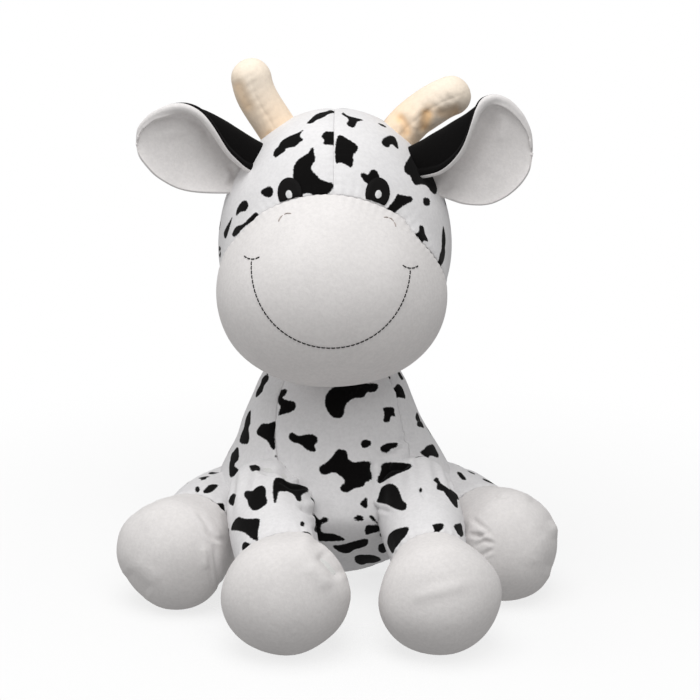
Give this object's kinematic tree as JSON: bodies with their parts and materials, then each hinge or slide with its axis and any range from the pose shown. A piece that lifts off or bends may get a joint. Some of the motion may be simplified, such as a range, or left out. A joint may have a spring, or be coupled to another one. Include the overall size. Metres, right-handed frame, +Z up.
{
  "type": "plush cow",
  "caption": "Sitting plush cow with a round body, broad snout, cupped ears, bent stuffed horns, padded legs with white ends, and a tail, in short pile fabric with a patch print.",
  "frame": {"origin": "on the floor, at the middle of the torso's flat seat", "axes": "+Z up, -Y the way the cow faces, +X to the right in the picture"},
  "size_m": [0.3255, 0.3821, 0.3948],
  "materials": {
    "print_plush": "short pile, white with a black cow print",
    "white_plush": "short pile",
    "black_plush": "short pile",
    "cream_plush": "short pile",
    "polyester_filling": "loose fibre",
    "black_thread": "satin stitch",
    "white_thread": "satin stitch"
  },
  "bodies": {
    "torso": {"torso_front_panel": "print_plush", "torso_back_left_panel": "print_plush", "torso_back_right_panel": "print_plush", "torso_filling": "polyester_filling"},
    "head": {"crown_left_panel": "print_plush", "crown_right_panel": "print_plush", "muzzle_panel": "white_plush", "head_filling": "polyester_filling", "horn_left_cover": "cream_plush", "horn_left_filling": "polyester_filling", "eye_left": "black_thread", "eye_left_highlight": "white_thread", "mouth_corner_left": "black_thread", "nostril_left": "white_thread", "horn_right_cover": "cream_plush", "horn_right_filling": "polyester_filling", "eye_right": "black_thread", "eye_right_highlight": "white_thread", "mouth_corner_right": "black_thread", "nostril_right": "white_thread", "mouth_thread": "black_thread"},
    "arm_left": {"arm_left_sleeve": "print_plush", "arm_left_paw": "white_plush", "arm_left_filling": "polyester_filling"},
    "leg_left": {"leg_left_thigh": "print_plush", "leg_left_foot": "white_plush", "leg_left_filling": "polyester_filling"},
    "ear_left": {"ear_left_front": "white_plush", "ear_left_back": "black_plush"},
    "arm_right": {"arm_right_sleeve": "print_plush", "arm_right_paw": "white_plush", "arm_right_filling": "polyester_filling"},
    "leg_right": {"leg_right_thigh": "print_plush", "leg_right_foot": "white_plush", "leg_right_filling": "polyester_filling"},
    "ear_right": {"ear_right_front": "white_plush", "ear_right_back": "black_plush"},
    "tail": {"tail": "print_plush", "tail_tuft": "black_plush"}
  },
  "joints": [
    {"name": "head_turn", "type": "hinge", "parent": "torso", "child": "head", "pos_m": [0, 0, 0.17], "axis": [0, 0, 1], "range_deg": [-20, 20], "stiffness_Nm_per_rad": 2},
    {"name": "arm_left_raise", "type": "hinge", "parent": "torso", "child": "arm_left", "pos_m": [-0.05021, -0.07047, 0.078], "axis": [-1, 0, 0], "range_deg": [0, 45], "stiffness_Nm_per_rad": 0.5},
    {"name": "arm_right_raise", "type": "hinge", "parent": "torso", "child": "arm_right", "pos_m": [0.05953, -0.0628, 0.078], "axis": [-1, 0, 0], "range_deg": [0, 45], "stiffness_Nm_per_rad": 0.5},
    {"name": "leg_left_splay", "type": "hinge", "parent": "torso", "child": "leg_left", "pos_m": [-0.08036, 0.0024, 0.042], "axis": [0, 0, -1], "range_deg": [0, 30], "stiffness_Nm_per_rad": 0.6},
    {"name": "leg_right_splay", "type": "hinge", "parent": "torso", "child": "leg_right", "pos_m": [0.07925, 0.01356, 0.042], "axis": [0, 0, 1], "range_deg": [0, 30], "stiffness_Nm_per_rad": 0.6},
    {"name": "ear_left_fold", "type": "hinge", "parent": "head", "child": "ear_left", "pos_m": [-0.053, -0.05, 0.324], "axis": [0.1392, 0, 0.9903], "range_deg": [-10, 10], "stiffness_Nm_per_rad": 0.06},
    {"name": "ear_right_fold", "type": "hinge", "parent": "head", "child": "ear_right", "pos_m": [0.053, -0.05, 0.324], "axis": [-0.1392, 0, 0.9903], "range_deg": [-10, 10], "stiffness_Nm_per_rad": 0.06},
    {"name": "tail_lift", "type": "hinge", "parent": "torso", "child": "tail", "pos_m": [0, 0.09101, 0.04736], "axis": [1, 0, 0], "range_deg": [0, 60], "stiffness_Nm_per_rad": 0.02}
  ]
}
